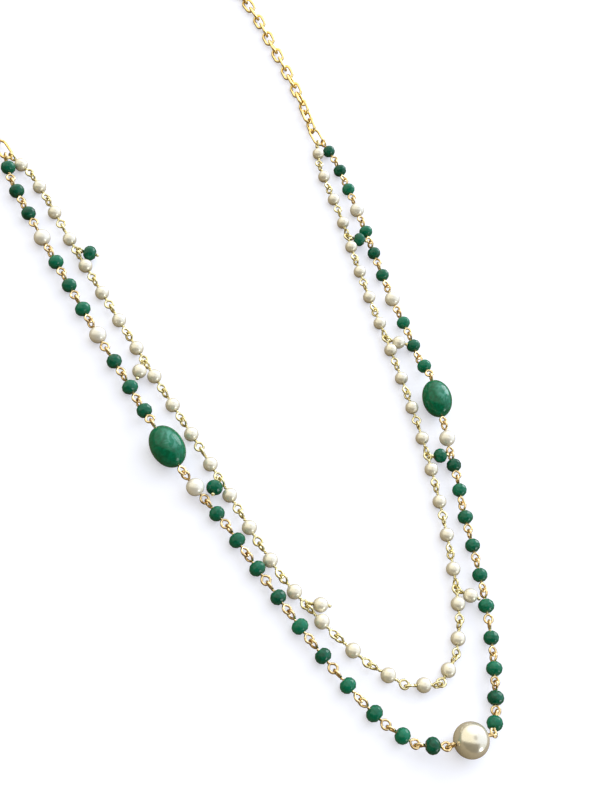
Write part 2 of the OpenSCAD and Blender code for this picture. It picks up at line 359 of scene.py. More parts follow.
class Finishes:
    """Every finish of the necklace, each made once.

    The small pearls wear nacre, the accents satin and the centre pearl lustrous. The
    rondelles are onyx and the ovals clouded onyx, whose pale tops are partly clouds and
    partly a painted sheen where the light falls. Gold is the onyx strand's wire, pale the
    pearl strand's and bright the chain's.
    """

    def __init__(self) -> None:
        """Makes the materials."""
        self.nacre = Nacre("nacre").material()
        self.satin = Nacre(
            "satin_nacre", (0.98, 0.95, 0.85), (0.95, 0.91, 0.77), roughness=0.26, metallic=0.28
        ).material()
        self.lustrous = Nacre(
            "lustrous_nacre", (0.90, 0.86, 0.73), (0.84, 0.78, 0.60), roughness=0.17, metallic=0.62
        ).material()
        self.onyx = GreenStone(
            "green_onyx", dark=(0.001, 0.05, 0.022), light=(0.001, 0.175, 0.085),
            cloud=(0.01, 0.26, 0.155), cloudiness=0.25,
        ).material()
        # The ovals turn pale only in their top 0.8 mm: partly clouds and partly a painted sheen where
        # the light falls on the top.
        self.cloudy = GreenStone(
            "cloudy_onyx", dark=(0.001, 0.09, 0.036), light=(0.001, 0.205, 0.098),
            cloud=(0.09, 0.33, 0.24), cloudiness=0.95, cloud_base=7.0 * mm, cloud_top=7.8 * mm,
            mottle=0.7,
        ).material()
        self.gold = GoldPlate("gold_wire", (0.94, 0.74, 0.40), (0.36, 0.20, 0.06), 0.14).material()
        self.pale = GoldPlate("pale_gold_wire", (0.95, 0.87, 0.52), (0.54, 0.43, 0.16), 0.14).material()
        self.bright = GoldPlate("chain_gold", (1.0, 0.80, 0.36), (0.80, 0.55, 0.16), 0.17).material()


# Solids of the frame


@dataclass
class Solid:
    """One loose solid of a CAD node."""

    points: np.ndarray

    @property
    def middle(self) -> np.ndarray:
        """Mean of its points."""
        return self.points.mean(axis=0)

    def axes(self) -> tuple[np.ndarray, np.ndarray]:
        """Finds its own directions.

        Returns:
            The longest and the shortest.
        """
        offsets = self.points - self.middle
        _, directions = np.linalg.eigh(offsets.T @ offsets)
        return directions[:, 2], directions[:, 0]

    @property
    def axis(self) -> np.ndarray:
        """Its longest direction."""
        return self.axes()[0]

    def reach(self, start: np.ndarray, way: np.ndarray) -> float:
        """How far it goes from a point in a direction."""
        return float(((self.points - start) @ way).max())


def solids(node: str) -> list[Solid]:
    """Splits a CAD node into its loose solids, from the chain's end downwards.

    Args:
        node: The node's name.

    Returns:
        Its solids, highest Y first.
    """
    mesh = frame["nodes"][node].data
    raw = np.zeros(len(mesh.vertices) * 3)
    mesh.vertices.foreach_get("co", raw)
    corners = np.zeros(len(mesh.polygons) * 3, dtype=np.int64)
    mesh.polygons.foreach_get("vertices", corners)
    merged, where = np.unique(np.round(raw.reshape(-1, 3), 7), axis=0, return_inverse=True)
    faces = where.reshape(-1)[corners].reshape(-1, 3)
    label = np.arange(len(merged))
    while True:
        lowest = label[faces].min(axis=1)
        new = label.copy()
        for k in range(3):
            np.minimum.at(new, faces[:, k], lowest)
        new = new[new]
        if (new == label).all():
            break
        label = new
    found = [Solid(merged[label == value]) for value in np.unique(label)]
    return sorted(found, key=lambda solid: -solid.middle[1])


def turn_to(x: Iterable[float], z: Iterable[float]) -> Quaternion:
    """The turn that takes X to one direction and Z as near as it goes to another.

    Args:
        x: Where X goes.
        z: Where Z leans.

    Returns:
        The turn as a quaternion.
    """
    x_axis = Vector(x).normalized()
    y_axis = Vector(z).cross(x_axis).normalized()
    z_axis = x_axis.cross(y_axis)
    return Matrix((x_axis, y_axis, z_axis)).transposed().to_quaternion()


# Geometry Nodes


@dataclass
class Spot:
    """A place for one repeated shape."""

    at: Sequence[float]
    turn: Quaternion
    size: Sequence[float] = (1.0, 1.0, 1.0)
    tone: float = 0.5
    part: int = 0
    pick: int = 0


class GeometryTree(Tree):
    """A Geometry Nodes tree with named inputs, built node by node."""

    def __init__(self, name: str) -> None:
        """Starts a tree with a geometry input and output.

        Args:
            name: The tree's name.
        """
        super().__init__(bpy.data.node_groups.new(name, "GeometryNodeTree"))
        self.tree.interface.new_socket("Spots", in_out="INPUT", socket_type="NodeSocketGeometry")
        self.tree.interface.new_socket("Shape", in_out="OUTPUT", socket_type="NodeSocketGeometry")
        self.start = self.tree.nodes.new("NodeGroupInput")
        self.end = self.tree.nodes.new("NodeGroupOutput")
        self.values: dict[str, Any] = {}

    def input(self, name: str, kind: str, value: Any) -> NodeSocket:
        """Adds a named input and the value that the modifier gives it.

        Args:
            name: The input's name.
            kind: The end of its socket type, such as Float.
            value: What the modifier sets.

        Returns:
            The output of the group's input node.
        """
        socket = self.tree.interface.new_socket(name, in_out="INPUT", socket_type=f"NodeSocket{kind}")
        self.values[socket.identifier] = value
        return self.start.outputs[name]

    def node(self, kind: str, settings: dict[str, Any] | None = None, **values: Any) -> Node:
        """Adds one node.

        Args:
            kind: The node's type.
            settings: Its own properties, which are set first.
            values: A value or output for each named input, _ for a space.

        Returns:
            The new node.
        """
        node = self.add(kind, settings)
        for name, value in values.items():
            wanted = name.replace("_", " ")
            self.feed(next(s for s in node.inputs if s.name == wanted and s.enabled), value)
        return node

    def stored(self, name: str, kind: str) -> NodeSocket:
        """A named attribute of the spots."""
        node = self.node("GeometryNodeInputNamedAttribute", {"data_type": kind}, Name=name)
        return next(s for s in node.outputs if s.enabled)

    def place(self, shape: NodeSocket, part: int, pick: bool = False) -> NodeSocket:
        """Puts a shape at every spot of one part number.

        Args:
            shape: The geometry to repeat.
            part: The part number of its spots.
            pick: Whether each spot picks one child of a collection.

        Returns:
            The instances.
        """
        chosen = self.node(
            "FunctionNodeCompare", {"data_type": "INT", "operation": "EQUAL"},
            A=self.stored("part", "INT"), B=part,
        )
        values = {"Points": self.start.outputs[0], "Selection": chosen.outputs[0], "Instance": shape}
        if pick:
            values |= {"Pick_Instance": True, "Instance_Index": self.stored("pick", "INT")}
        node = self.node(
            "GeometryNodeInstanceOnPoints", None, **values,
            Rotation=self.stored("turn", "QUATERNION"), Scale=self.stored("size", "FLOAT_VECTOR"),
        )
        return node.outputs[0]

    def math(self, operation: str, *terms: Any) -> NodeSocket:
        """Adds one Math node.

        Args:
            operation: What it does.
            terms: Its numbers or outputs, in order.

        Returns:
            Its output.
        """
        node = self.add("ShaderNodeMath", {"operation": operation})
        for socket, term in zip(node.inputs, terms):
            self.feed(socket, term)
        return node.outputs[0]

    def sweep(self, path: NodeSocket, radius: Any, sides: int) -> NodeSocket:
        """A wire along a path, with closed ends.

        Args:
            path: The curve.
            radius: The wire's radius, a number or an output.
            sides: How many sides the wire has.

        Returns:
            The wire's mesh.
        """
        ring = self.node(
            "GeometryNodeCurvePrimitiveCircle", {"mode": "RADIUS"}, Resolution=sides, Radius=radius
        )
        wire = self.node(
            "GeometryNodeCurveToMesh", None, Curve=path, Profile_Curve=ring.outputs[0], Fill_Caps=True
        )
        return wire.outputs[0]

    def grow(
        self, name: str, spots: Sequence[Spot], shapes: Sequence[NodeSocket], finish: Material
    ) -> Object:
        """Finishes the tree, runs it on the spots and keeps the plain mesh.

        Args:
            name: The piece's name.
            spots: Where the shapes go.
            shapes: The tree's instances.
            finish: The material of the piece.

        Returns:
            The piece.
        """
        joined = self.node("GeometryNodeJoinGeometry")
        for shape in shapes:
            self.tree.links.new(shape, joined.inputs[0])
        real = self.node("GeometryNodeRealizeInstances", None, Geometry=joined.outputs[0])
        dressed = self.node(
            "GeometryNodeSetMaterial", None, Geometry=real.outputs[0],
            Material=self.input("Finish", "Material", finish),
        )
        self.tree.links.new(dressed.outputs[0], self.end.inputs[0])

        points = bpy.data.meshes.new(name)
        points.from_pydata([tuple(spot.at) for spot in spots], [], [])
        stored = {
            "turn": ("QUATERNION", "value", [n for s in spots for n in s.turn]),
            "size": ("FLOAT_VECTOR", "vector", [n for s in spots for n in s.size]),
            "tone": ("FLOAT", "value", [s.tone for s in spots]),
            "part": ("INT", "value", [s.part for s in spots]),
            "pick": ("INT", "value", [s.pick for s in spots]),
        }
        for key, (kind, slot, values) in stored.items():
            points.attributes.new(key, kind, "POINT").data.foreach_set(slot, values)
        piece = bpy.data.objects.new(name, points)
        bpy.context.scene.collection.objects.link(piece)
        modifier = piece.modifiers.new("Grow", "NODES")
        modifier.node_group = self.tree
        for identifier, value in self.values.items():
            modifier[identifier] = value
        graph = bpy.context.evaluated_depsgraph_get()
        piece.data = bpy.data.meshes.new_from_object(piece.evaluated_get(graph), depsgraph=graph)
        piece.modifiers.clear()
        bpy.data.meshes.remove(points)
        piece.data.name = name
        return piece


def register(piece: Object, slot: str, *nodes: str) -> None:
    """Attaches a finished piece to the root body and hides the nodes that it replaces.

    Args:
        piece: The finished piece.
        slot: The record's material slot. It is not used.
        nodes: The CAD nodes that it stands for.
    """
    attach(piece, "root")
    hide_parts(*nodes)
    log.info("%s: %d faces, replaces %s", piece.name, len(piece.data.polygons), ", ".join(nodes))


# Master shapes


def mesh_of(name: str, form: bmesh.types.BMesh, smooth: bool = True) -> Mesh:
    """Turns a bmesh into a mesh with outward normals, and frees it.

    Args:
        name: The mesh's name.
        form: The bmesh.
        smooth: Whether its faces are shaded smooth.

    Returns:
        The mesh.
    """
    bmesh.ops.recalc_face_normals(form, faces=form.faces)
    mesh = bpy.data.meshes.new(name)
    form.to_mesh(mesh)
    form.free()
    mesh.polygons.foreach_set("use_smooth", [smooth] * len(mesh.polygons))
    return mesh


@dataclass(frozen=True)
class DrilledBead:
    """Round or oval bead with its hole along X."""

    length: float
    width: float
    hole: float = 0.32 * mm
    rings: int = 22
    sides: int = 32
    unevenness: float = 0.0

    @property
    def half(self) -> float:
        """Half its length."""
        return self.length / 2

    def master(self, name: str) -> "Masters":
        """The bead as the one shape that spots pick."""
        return Masters(name, [self.mesh(name)])

    def mesh(self, name: str) -> Mesh:
        """Turns the bead's outline round X, through the hole and back.

        Args:
            name: The mesh's name.

        Returns:
            A closed mesh about the origin.
        """
        start = math.asin(self.hole / (self.width / 2))
        outline = [start + (math.pi - 2 * start) * i / self.rings for i in range(self.rings + 1)]
        form = bmesh.new()
        rows = []
        for angle in outline:
            row = []
            for j in range(self.sides):
                turn = math.tau * j / self.sides
                swell = 1 + self.unevenness * math.sin(3 * angle + 1.1) * math.cos(2 * turn + 0.6)
                place = Vector((
                    math.cos(angle) * self.length / 2,
                    math.sin(angle) * math.cos(turn) * self.width / 2,
                    math.sin(angle) * math.sin(turn) * self.width / 2,
                ))
                row.append(form.verts.new(place * swell))
            rows.append(row)
        for near, far in zip(rows, rows[1:] + rows[:1]):
            for j in range(self.sides):
                k = (j + 1) % self.sides
                form.faces.new((near[j], near[k], far[k], far[j]))
        mesh = mesh_of(name, form)
        for wall in mesh.polygons[-self.sides:]:
            wall.use_smooth = False
        return mesh


@dataclass(frozen=True)
class FacetRow:
    """A ring of flat facets, ground round the stone at one tilt."""

    tilt: float
    count: int
    offset: float


@dataclass(frozen=True)
class CutStone:
    """Hand-cut rondelle: flat facets ground on an oval of stone, with soft edges.

    It has no hole, because the collars on its pin cover both ends. The slacks say how
    far the cutter's hand strays: in degrees of tilt, and in facets round the stone. The
    depths are shares of the oval's reach.
    """

    radius: float = 1.97 * mm
    oval: float = 1.78 * mm
    half: float = 1.53 * mm
    soften: float = 0.2 * mm
    polish: float = 0.985
    tilt_slack: float = 3.0
    turn_slack: float = 0.12
    depths: tuple[float, float] = (0.965, 0.985)
    merge: float = 0.004 * mm
    rows: tuple[FacetRow, ...] = (
        FacetRow(16.0, 14, 0.0), FacetRow(-16.0, 14, 0.0),
        FacetRow(44.0, 14, 0.5), FacetRow(-44.0, 14, 0.5),
    )

    def mesh(self, name: str, seed: int) -> Mesh:
        """Grinds one stone.

        Args:
            name: The mesh's name.
            seed: What makes its facets differ from another stone's.

        Returns:
            A closed mesh about the origin, to be strung along X.
        """
        hand = random.Random(seed)
        form = bmesh.new()
        bmesh.ops.create_cube(form, size=4 * self.radius)
        for way in (-1.0, 1.0):
            self._grind(form, Vector((way, 0.0, 0.0)), self.half)
        for row in self.rows:
            for j in range(row.count):
                tilt = math.radians(row.tilt + hand.uniform(-self.tilt_slack, self.tilt_slack))
                turn = j + row.offset + hand.uniform(-self.turn_slack, self.turn_slack)
                round_ = math.tau * turn / row.count
                normal = Vector((
                    math.sin(tilt), math.cos(tilt) * math.cos(round_), math.cos(tilt) * math.sin(round_)
                ))
                reach = math.hypot(self.radius * math.cos(tilt), self.oval * math.sin(tilt))
                self._grind(form, normal, reach * hand.uniform(*self.depths))
        bmesh.ops.dissolve_limit(form, angle_limit=math.radians(1), verts=form.verts, edges=form.edges)
        bmesh.ops.bevel(
            form, geom=list(form.edges), offset=self.soften, segments=3, profile=0.5,
            affect="EDGES", clamp_overlap=True,
        )
        for vert in form.verts:
            x, *across = vert.co
            out = math.hypot(x / self.oval, math.hypot(*across) / self.radius) / self.polish
            vert.co /= max(1.0, out)
        bmesh.ops.remove_doubles(form, verts=form.verts, dist=self.merge)
        return mesh_of(name, form)

    @staticmethod
    def _grind(form: bmesh.types.BMesh, normal: Vector, reach: float) -> None:
        """Cuts off what lies past a plane, and closes the cut.

        Args:
            form: The stone.
            normal: The way that the plane faces.
            reach: How far it lies from the origin.
        """
        geometry = form.verts[:] + form.edges[:] + form.faces[:]
        cut = bmesh.ops.bisect_plane(
            form, geom=geometry, plane_co=normal * reach, plane_no=normal, clear_outer=True, dist=1e-7
        )
        edges = [item for item in cut["geom_cut"] if isinstance(item, bmesh.types.BMEdge)]
        if edges:
            bmesh.ops.contextual_create(form, geom=edges)


class Masters:
    """A set of shapes that spots pick from. It isn't part of the scene."""

    def __init__(self, name: str, meshes: Sequence[Mesh]) -> None:
        """Puts each mesh on an object in a collection of its own.

        Args:
            name: The collection's name.
            meshes: The shapes, in the order that spots pick them.
        """
        self.collection = bpy.data.collections.new(name)
        self.objects = [bpy.data.objects.new(f"{name}_{i:02d}", mesh) for i, mesh in enumerate(meshes)]
        for shape in self.objects:
            self.collection.objects.link(shape)

    def string(self, name: str, spots: Sequence[Spot], finish: Material) -> Object:
        """Strings the shapes on the spots as one piece.

        Args:
            name: The piece's name.
            spots: Where they go.
            finish: The piece's material.

        Returns:
            The piece.
        """
        tree = GeometryTree(f"{name}_tree")
        info = tree.node(
            "GeometryNodeCollectionInfo", {"transform_space": "ORIGINAL"},
            Collection=tree.input("Shapes", "Collection", self.collection),
            Separate_Children=True, Reset_Children=True,
        )
        return tree.grow(name, spots, [tree.place(info.outputs[0], 0, pick=True)], finish)

    def clear(self) -> None:
        """Removes the shapes, once nothing picks from them."""
        for shape in self.objects:
            bpy.data.objects.remove(shape)
        bpy.data.collections.remove(self.collection)


# Sub-assemblies


@dataclass(frozen=True)
class PinWork:
    """Straight pins with a pear-shaped loop and a wound collar at one or both ends."""

    loop: float = 0.98 * mm
    cad_wire: float = 0.24 * mm
    wire: float = 0.3 * mm
    collar: float = 0.42 * mm
    winding: float = 0.15 * mm
    turns: float = 1.0
    lead: float = 0.04 * mm
    shaft: float = 0.2 * mm
    pear: float = 0.2
    pear_sharpness: float = 6.0
    loop_points: int = 28
    coil_points: int = 12
    sides: int = 8
    winding_sides: int = 6

    def eye(self, pin: Solid, middle: np.ndarray, way: np.ndarray) -> tuple[float, np.ndarray]:
        """Finds the loop at one end of a pin.

        Args:
            pin: The pin's solid.
            middle: The middle of the bead on it.
            way: The direction from the bead to the loop.

        Returns:
            How far the loop's centre lies from the bead's middle, and the loop's normal.
        """
        loop_at = pin.reach(middle, way) - self.loop - self.cad_wire
        centre = middle + way * loop_at
        ring = pin.points[np.abs((pin.points - centre) @ way) < self.loop / 2] - centre
        across = ring - np.outer(ring @ way, way)
        _, directions = np.linalg.eigh(across.T @ across)
        return loop_at, np.cross(way, directions[:, 2])

    def spots(self, pin: Solid, bead_middle: np.ndarray, bead_half: float) -> list[Spot]:
        """Places the parts of one pin that has a loop at each end.

        Args:
            pin: The pin's solid.
            bead_middle: The middle of the bead on it.
            bead_half: Half the bead's length.

        Returns:
            A spot for each loop (part 0), collar (1) and the shaft (2).
        """
        axis = pin.axis
        found = []
        ends = []
        for way in (axis, -axis):
            loop_at, normal = self.eye(pin, bead_middle, way)
            end = loop_at - self.loop
            start = bead_half + self.lead
            found.append(Spot(bead_middle + way * loop_at, turn_to(-way, normal)))
            found.append(Spot(
                bead_middle + way * start, turn_to(normal, way), (1.0, 1.0, (end - start) / mm), part=1
            ))
            ends.append(end)
        middle = bead_middle + axis * (ends[0] - ends[1]) / 2
        turn = turn_to(Vector(axis).orthogonal(), axis)
        found.append(Spot(middle, turn, (1.0, 1.0, sum(ends) / mm), part=2))
        return found

    def shapes(self, tree: GeometryTree) -> list[NodeSocket]:
        """Draws the loop, the collar and the shaft at their spots.

        Args:
            tree: The piece's tree.

        Returns:
            The instances of parts 0, 1 and 2.
        """
        wire = tree.input("Wire Radius", "Float", self.wire)
        winding = tree.input("Winding Radius", "Float", self.winding)
        shaft = tree.input("Shaft Radius", "Float", self.shaft)
        return [
            tree.place(tree.sweep(self._pear_loop(tree), wire, self.sides), 0),
            tree.place(tree.sweep(self._coil(tree), winding, self.winding_sides), 1),
            tree.place(tree.sweep(self._line(tree), shaft, self.sides), 2),
        ]

    def grow(self, name: str, spots: Sequence[Spot], finish: Material) -> Object:
        """Winds the wire of every pin of a node as one piece."""
        tree = GeometryTree(f"{name}_tree")
        return tree.grow(name, spots, self.shapes(tree), finish)

    def _pear_loop(self, tree: GeometryTree) -> NodeSocket:
        """Bends a round loop out towards its neck, which lies on +X.

        Args:
            tree: The piece's tree.

        Returns:
            The loop's curve.
        """
        loop = tree.input("Loop Radius", "Float", self.loop)
        pear = tree.input("Pear", "Float", self.pear)
        ring = tree.node(
            "GeometryNodeCurvePrimitiveCircle", {"mode": "RADIUS"},
            Resolution=self.loop_points, Radius=loop,
        )
        place = tree.node("GeometryNodeInputPosition")
        split = tree.node("ShaderNodeSeparateXYZ", None, Vector=place.outputs[0])
        front = tree.math("MAXIMUM", tree.math("DIVIDE", split.outputs[0], loop), 0.0)
        rise = tree.math("POWER", front, self.pear_sharpness)
        push = tree.math("MULTIPLY", rise, tree.math("MULTIPLY", loop, pear))
        offset = tree.node("ShaderNodeCombineXYZ", None, X=push)
        moved = tree.node(
            "GeometryNodeSetPosition", None, Geometry=ring.outputs[0], Offset=offset.outputs[0]
        )
        return moved.outputs[0]

    def _coil(self, tree: GeometryTree) -> NodeSocket:
        """Winds a collar, 1 mm long before it is fitted.

        Args:
            tree: The piece's tree.

        Returns:
            The collar's curve.
        """
        radius = tree.input("Collar Middle Radius", "Float", self.collar - self.winding)
        coil = tree.node(
            "GeometryNodeCurveSpiral", None, Resolution=self.coil_points, Rotations=self.turns,
            Start_Radius=radius, End_Radius=radius, Height=1.0 * mm,
        )
        return coil.outputs[0]

    @staticmethod
    def _line(tree: GeometryTree) -> NodeSocket:
        """A line along Z, 1 mm long before it is fitted."""
        line = tree.node(
            "GeometryNodeCurvePrimitiveLine", {"mode": "POINTS"},
            Start=(0.0, 0.0, -0.5 * mm), End=(0.0, 0.0, 0.5 * mm),
        )
        return line.outputs[0]


def nearest(solid: Solid, others: Sequence[Solid]) -> Solid:
    """The solid whose middle lies nearest to another's."""
    return min(others, key=lambda other: float(np.linalg.norm(other.middle - solid.middle)))


@dataclass
class PearlWork:
    """Small pearls, accent pearls and the centre pearl, and the pins through them."""

    finishes: Finishes
    small: DrilledBead = DrilledBead(3.5 * mm, 3.5 * mm)
    accent: DrilledBead = DrilledBead(4.2 * mm, 4.2 * mm)
    centre: DrilledBead = DrilledBead(8.0 * mm, 8.0 * mm, rings=48, sides=72)
    small_tones: tuple[float, float] = (0.2, 0.9)
    accent_tones: tuple[float, float] = (0.2, 0.7)
    centre_tone: float = 0.4
    accents: int = 6
    small_pins: PinWork = PinWork(turns=2.0)
    pins: PinWork = PinWork()
    seed: int = 7

    def build(self) -> None:
        """Makes every pearl and its pin."""
        hand = random.Random(self.seed)
        round_ = self.small.master("small_round")
        for side in Side:
            beads = solids(f"pearl_beads_{side.value}")
            pins = solids(f"pearl_pins_{side.value}")
            spots = []
            wires = []
            for bead in beads:
                pin = nearest(bead, pins)
                tone = hand.uniform(*self.small_tones)
                spots.append(Spot(bead.middle, turn_to(pin.axis, UP), tone=tone))
                wires += self.small_pins.spots(pin, bead.middle, self.small.half)
            piece = round_.string(f"small_pearls_{side.value}", spots, self.finishes.nacre)
            register(piece, "pearl", f"pearl_beads_{side.value}")
            wire = self.small_pins.grow(f"pearl_wire_{side.value}", wires, self.finishes.pale)
            register(wire, "pearl_wire", f"pearl_pins_{side.value}")
        round_.clear()
        self._accents(hand)
        self._centre()

    def _accents(self, hand: random.Random) -> None:
        """Makes the accent pearls, the first half of them on the left.

        Args:
            hand: What draws the tones.
        """
        accent = self.accent.master("accent_round")
        pins = [pin for side in Side for pin in solids(f"accent_pins_{side.value}")]
        wires: dict[Side, list[Spot]] = {side: [] for side in Side}
        for number in range(1, self.accents + 1):
            node = f"accent_pearl_{number}"
            bead = solids(node)[0]
            pin = nearest(bead, pins)
            spot = Spot(bead.middle, turn_to(pin.axis, UP), tone=hand.uniform(*self.accent_tones))
            register(accent.string(f"{node}_nacre", [spot], self.finishes.satin), "large_pearl", node)
            side = Side.LEFT if number <= self.accents // 2 else Side.RIGHT
            wires[side] += self.pins.spots(pin, bead.middle, self.accent.half)
        accent.clear()
        for side, spots in wires.items():
            wire = self.pins.grow(f"accent_wire_{side.value}", spots, self.finishes.gold)
            register(wire, "onyx_wire", f"accent_pins_{side.value}")

    def _centre(self) -> None:
        """Makes the centre pearl."""
        round_ = self.centre.master("centre_round")
        bead = solids("centre_pearl")[0]
        pin = solids("centre_pearl_pin")[0]
        spot = Spot(bead.middle, turn_to(pin.axis, UP), tone=self.centre_tone)
        piece = round_.string("centre_pearl_nacre", [spot], self.finishes.lustrous)
        register(piece, "large_pearl", "centre_pearl")
        round_.clear()
        wires = self.pins.spots(pin, bead.middle, self.centre.half)
        wire = self.pins.grow("centre_wire", wires, self.finishes.gold)
        register(wire, "onyx_wire", "centre_pearl_pin")


@dataclass
class OnyxWork:
    """Cut rondelles and oval onyx beads, and the pins through them."""

    finishes: Finishes
    stone: CutStone = CutStone()
    patterns: int = 6
    cad_radius: float = 2.0 * mm
    stone_half: float = 1.55 * mm
    oval: DrilledBead = DrilledBead(10.8 * mm, 7.8 * mm, rings=44, sides=64, unevenness=0.006)
    light: dict[Side, tuple[int, ...]] = field(default_factory=lambda: {
        Side.LEFT: (4, 6, 14, 16, 18), Side.RIGHT: (3, 4, 7, 9, 11, 15, 17),
    })
    dark: dict[Side, tuple[int, ...]] = field(default_factory=lambda: {
        Side.LEFT: (2, 3, 7, 13, 15, 19), Side.RIGHT: (1, 2, 5, 10, 18),
    })
    light_tone: float = 0.9
    plain_tone: float = 0.5
    dark_tone: float = 0.1
    tone_slack: float = 0.1
    pins: PinWork = PinWork()
    seed: int = 11
    first_pattern: int = 31

    def tone(self, side: Side, number: int, hand: random.Random) -> float:
        """Chooses how light a stone is.

        Args:
            side: Its half of the necklace.
            number: Its number, counted from the chain's end.
            hand: What draws the tones.

        Returns:
            The tone, from 0 for dark to 1 for light.
        """
        shade = self.plain_tone
        if number in self.light[side]:
            shade = self.light_tone
        elif number in self.dark[side]:
            shade = self.dark_tone
        return shade + hand.uniform(-self.tone_slack, self.tone_slack)

    def masters(self) -> Masters:
        """Grinds the stones that spots pick from."""
        meshes = [self.stone.mesh(f"cut_{i}", self.first_pattern + i) for i in range(self.patterns)]
        return Masters("cut", meshes)

    def stone_spot(self, bead: Solid, axis: np.ndarray, tone: float, hand: random.Random) -> Spot:
        """Places one stone, rolled at random about its pin.

        Args:
            bead: The stone's solid.
            axis: The way of its pin.
            tone: How light it is.
            hand: What draws the roll and the pattern.

        Returns:
            Its spot.
        """
        radius = np.linalg.norm(np.cross(bead.points - bead.middle, axis), axis=1).max()
        size = radius / self.cad_radius
        turn = turn_to(axis, UP) @ Quaternion((1.0, 0.0, 0.0), hand.uniform(0.0, math.tau))
        return Spot(bead.middle, turn, (1.0, size, size), tone, pick=hand.randrange(self.patterns))

    def build(self) -> None:
        """Makes every stone of the strand and its pin."""
        hand = random.Random(self.seed)
        cut = self.masters()
        for side in Side:
            beads = solids(f"onyx_beads_{side.value}")
            pins = solids(f"onyx_pins_{side.value}")
            spots = []
            wires = []
            for number, bead in enumerate(beads, 1):
                pin = nearest(bead, pins)
                tone = self.tone(side, number, hand)
                spots.append(self.stone_spot(bead, pin.axis, tone, hand))
                wires += self.pins.spots(pin, bead.middle, self.stone_half)
            stones = cut.string(f"cut_onyx_{side.value}", spots, self.finishes.onyx)
            register(stones, "onyx", f"onyx_beads_{side.value}")
            wire = self.pins.grow(f"onyx_wire_{side.value}", wires, self.finishes.gold)
            register(wire, "onyx_wire", f"onyx_pins_{side.value}")
            self._oval(side)
        cut.clear()

    def _oval(self, side: Side) -> None:
        """Makes one oval bead and its pin.

        Args:
            side: The bead's half of the necklace.
        """
        master = self.oval.master("oval")
        pin = solids(f"oval_pin_{side.value}")[0]
        low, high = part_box(f"oval_bead_{side.value}")
        middle = np.array((low + high) / 2)
        spot = Spot(middle, turn_to(pin.axis, UP))
        piece = master.string(f"oval_onyx_{side.value}", [spot], self.finishes.cloudy)
        register(piece, "oval_onyx", f"oval_bead_{side.value}")
        master.clear()
        spots = self.pins.spots(pin, middle, self.oval.half)
        wire = self.pins.grow(f"oval_wire_{side.value}", spots, self.finishes.gold)
        register(wire, "onyx_wire", f"oval_pin_{side.value}")


@dataclass
class CharmWork:
    """Eight small charms: a bead on a pin with a loop above and a ball below."""

    finishes: Finishes
    onyx_work: OnyxWork
    pins: PinWork = PinWork(
        loop=0.75 * mm, cad_wire=0.21 * mm, wire=0.26 * mm, collar=0.34 * mm, winding=0.13 * mm,
        shaft=0.18 * mm,
    )
    cad_ball: float = 0.35 * mm
    ball: float = 0.46 * mm
    ball_sides: int = 16
    ball_rings: int = 12
    pearl: DrilledBead = DrilledBead(3.5 * mm, 3.5 * mm)
    tone: float = 0.4
    numbers: int = 8
    seed: int = 23

    def build(self) -> None:
        """Makes every charm, with stones from the onyx strand's patterns."""
        hand = random.Random(self.seed)
        cut = self.onyx_work.masters()
        round_ = self.pearl.master("charm_round")
        for number in range(1, self.numbers + 1):
            node = f"charm_bead_{number}"
            bead = solids(node)[0]
            pin = solids(f"charm_pin_{number}")[0]
            axis = pin.axis
            if pin.reach(bead.middle, axis) < pin.reach(bead.middle, -axis):
                axis = -axis
            if number % 2:
                spot = self.onyx_work.stone_spot(bead, axis, self.tone, hand)
                piece = cut.string(f"charm_stone_{number}", [spot], self.finishes.onyx)
                register(piece, "onyx", node)
                half = self.onyx_work.stone_half
            else:
                spot = Spot(bead.middle, turn_to(axis, UP), tone=self.tone)
                piece = round_.string(f"charm_pearl_{number}", [spot], self.finishes.nacre)
                register(piece, "pearl", node)
                half = self.pearl.half
            wire = self._pin(number, pin, bead.middle, axis, half)
            register(wire, "pearl_wire", f"charm_pin_{number}")
        cut.clear()
        round_.clear()

    def _pin(self, number: int, pin: Solid, middle: np.ndarray, up: np.ndarray, half: float) -> Object:
        """Winds one charm's pin.

        Args:
            number: The charm's number.
            pin: The pin's solid.
            middle: The bead's middle.
            up: The way from the bead to the loop.
            half: Half the bead's length.

        Returns:
            The piece.
        """
        loop_at, normal = self.pins.eye(pin, middle, up)
        end = loop_at - self.pins.loop
        ball_at = pin.reach(middle, -up) - self.cad_ball
        along = turn_to(normal, up)
        spots = [
            Spot(middle + up * loop_at, turn_to(-up, normal)),
            Spot(middle + up * (half + self.pins.lead), along, (1.0, 1.0, (end - half) / mm), part=1),
            Spot(middle + up * (end - ball_at) / 2, along, (1.0, 1.0, (end + ball_at) / mm), part=2),
            Spot(middle - up * ball_at, turn_to(up, normal), part=3),
        ]
        tree = GeometryTree(f"charm_pin_{number}_tree")
        ball = tree.node(
            "GeometryNodeMeshUVSphere", None, Segments=self.ball_sides, Rings=self.ball_rings,
            Radius=tree.input("Ball Radius", "Float", self.ball),
        )
        smooth = tree.node("GeometryNodeSetShadeSmooth", None, Geometry=ball.outputs[0])
        shapes = self.pins.shapes(tree) + [tree.place(smooth.outputs[0], 3)]
        return tree.grow(f"charm_wire_{number}", spots, shapes, self.finishes.pale)


@dataclass(frozen=True)
class Link:
    """A link of round wire: its outer length and width, and its wire's radius.

    The bow share is a little under 1, so that the two bends of an end never meet in
    one point.
    """

    length: float
    width: float
    wire: float
    bow_points: int = 9
    bow_share: float = 0.999
    sides: int = 10


